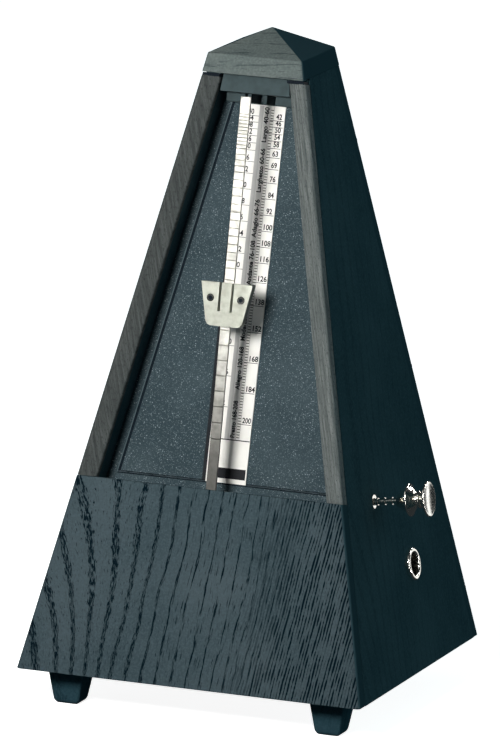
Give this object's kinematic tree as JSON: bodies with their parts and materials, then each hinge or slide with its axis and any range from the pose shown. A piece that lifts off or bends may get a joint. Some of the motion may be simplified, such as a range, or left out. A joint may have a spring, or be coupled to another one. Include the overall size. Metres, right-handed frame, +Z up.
{
  "type": "mechanical metronome",
  "caption": "Pyramid-shaped wooden metronome with a swinging pendulum, sliding weight, printed tempo scale, bell pull and key hole.",
  "frame": {"origin": "middle of the base, on the surface that the feet stand on", "axes": "+Z up, -Y towards the front with the scale, +X towards the side with the key hole and the bell pull"},
  "size_m": [0.1253, 0.118, 0.2194],
  "materials": {
    "dark_oak": "satin dark blue-grey stain over open-pored oak",
    "grey_strip": "matte grey stained strip",
    "speckled_plate": "satin blue-grey paint with light flecks",
    "printed_scale": "white enamel with black and grey print",
    "catch_rubber": "matte",
    "chrome_trim": "polished",
    "nickel": "satin nickel plate",
    "steel": "turned",
    "spring_blue": "blued",
    "brass": "satin"
  },
  "bodies": {
    "case": {"left_side_board": "dark_oak", "right_side_board": "dark_oak", "back_board": "dark_oak", "front_lower_panel": "dark_oak", "bottom_board": "dark_oak", "top_cap": "dark_oak", "foot_front_left": "dark_oak", "foot_front_right": "dark_oak", "foot_rear": "dark_oak", "left_rail": "grey_strip", "right_rail": "grey_strip", "face_plate": "speckled_plate", "scale_plate": "printed_scale", "pendulum_catch": "catch_rubber", "key_ferrule": "chrome_trim", "pull_rod_bush": "chrome_trim", "bottom_screws": "steel", "back_screws": "steel", "pull_detent_spring": "steel", "pillar_screws": "steel", "movement_screws": "steel", "click_spring": "steel", "click_screw": "steel", "bell_post": "steel", "bell_nut": "steel", "hammer_stud": "steel", "movement_left_plate": "brass", "movement_right_plate": "brass", "movement_pillars": "brass", "pendulum_front_bridge": "brass", "pendulum_rear_bridge": "brass", "bell": "brass"},
    "winding": {"winding_arbor": "steel", "ratchet_wheel": "steel"},
    "barrel": {"mainspring_barrel": "brass", "barrel_cover": "brass", "mainspring": "spring_blue"},
    "second_train": {"second_arbor": "steel", "second_wheel": "brass", "bell_cam": "brass"},
    "escape_train": {"escape_arbor": "steel", "escape_wheel": "brass"},
    "click": {"click": "steel"},
    "pendulum": {"pendulum_arbor": "steel", "pallets": "steel", "pendulum_hub": "brass", "pendulum_rod": "nickel", "bob_stem": "steel", "pendulum_bob": "brass"},
    "weight": {"sliding_weight": "nickel", "weight_spring": "steel", "weight_rivets": "nickel"},
    "hammer": {"bell_hammer": "steel"},
    "bell_pull": {"bell_pull_rod": "chrome_trim", "bell_pull_knob": "chrome_trim"}
  },
  "joints": [
    {"name": "pendulum_swing", "type": "hinge", "parent": "case", "child": "pendulum", "pos_m": [0, -0.04413, 0.06444], "axis": [0, -0.9875, 0.1576], "range_deg": [-20, 20]},
    {"name": "weight_slide", "type": "slide", "parent": "pendulum", "child": "weight", "axis": [0, 0.1576, 0.9875], "range_m": [-0.049, 0.0538]},
    {"name": "bell_pull_slide", "type": "slide", "parent": "case", "child": "bell_pull", "axis": [0.9877, 0, 0.1564], "range_m": [-0.0075, 0]},
    {"name": "winding_turn", "type": "hinge", "parent": "case", "child": "winding", "pos_m": [0, 0.008, 0.0458], "axis": [1, 0, 0], "continuous": true},
    {"name": "second_spin", "type": "hinge", "parent": "case", "child": "second_train", "pos_m": [0, -0.01357, 0.03795], "axis": [1, 0, 0], "continuous": true},
    {"name": "barrel_spin", "type": "hinge", "parent": "case", "child": "barrel", "pos_m": [0, 0.008, 0.0458], "axis": [1, 0, 0], "continuous": true},
    {"name": "escape_spin", "type": "hinge", "parent": "case", "child": "escape_train", "pos_m": [0, -0.02497, 0.04935], "axis": [1, 0, 0], "continuous": true},
    {"name": "click_lift", "type": "hinge", "parent": "case", "child": "click", "pos_m": [0, -0.004, 0.0563], "axis": [1, 0, 0], "range_deg": [0, 8], "stiffness_Nm_per_rad": 0.002, "springref_deg": -5.73},
    {"name": "hammer_lift", "type": "hinge", "parent": "case", "child": "hammer", "pos_m": [0, 0.004, 0.0315], "axis": [1, 0, 0], "range_deg": [-2, 7], "stiffness_Nm_per_rad": 0.02}
  ],
  "couplings": [
    {"joint": "barrel_spin", "follows": "second_spin", "ratio": -0.15152},
    {"joint": "escape_spin", "follows": "second_spin", "ratio": -7}
  ]
}
